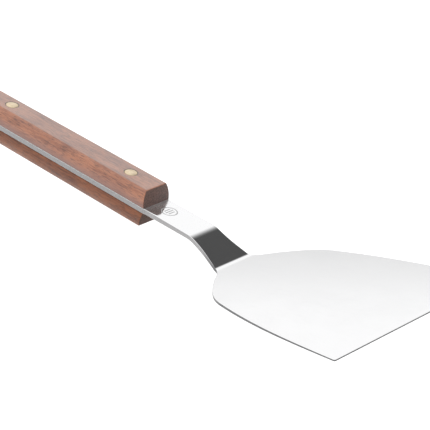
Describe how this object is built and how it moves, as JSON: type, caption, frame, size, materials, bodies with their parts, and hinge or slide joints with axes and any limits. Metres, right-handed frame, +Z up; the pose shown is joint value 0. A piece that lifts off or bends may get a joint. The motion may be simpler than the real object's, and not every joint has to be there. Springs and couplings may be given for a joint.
{
  "type": "cranked palette knife",
  "caption": "Broad, flared, cranked steel blade with a straight front edge, on a full tang between two riveted wooden handle scales.",
  "frame": {"origin": "middle of the blade's flat underside, half way from the heel of the crank to the front edge", "axes": "+X from the handle towards the blade's straight front edge, +Y to the left, +Z up, square to the blade"},
  "size_m": [0.2587, 0.11, 0.0528],
  "materials": {
    "steel": "bright satin polish, fine grain along the handle",
    "wood": "oiled reddish brown hardwood, straight open grain along the handle",
    "brass": "lightly worn polish"
  },
  "bodies": {
    "root": {"blade_and_tang": "steel", "upper_scale": "wood", "lower_scale": "wood", "front_rivet_pin": "brass", "front_rivet_sleeve": "brass", "rear_rivet_pin": "brass", "rear_rivet_sleeve": "brass"}
  },
  "joints": []
}
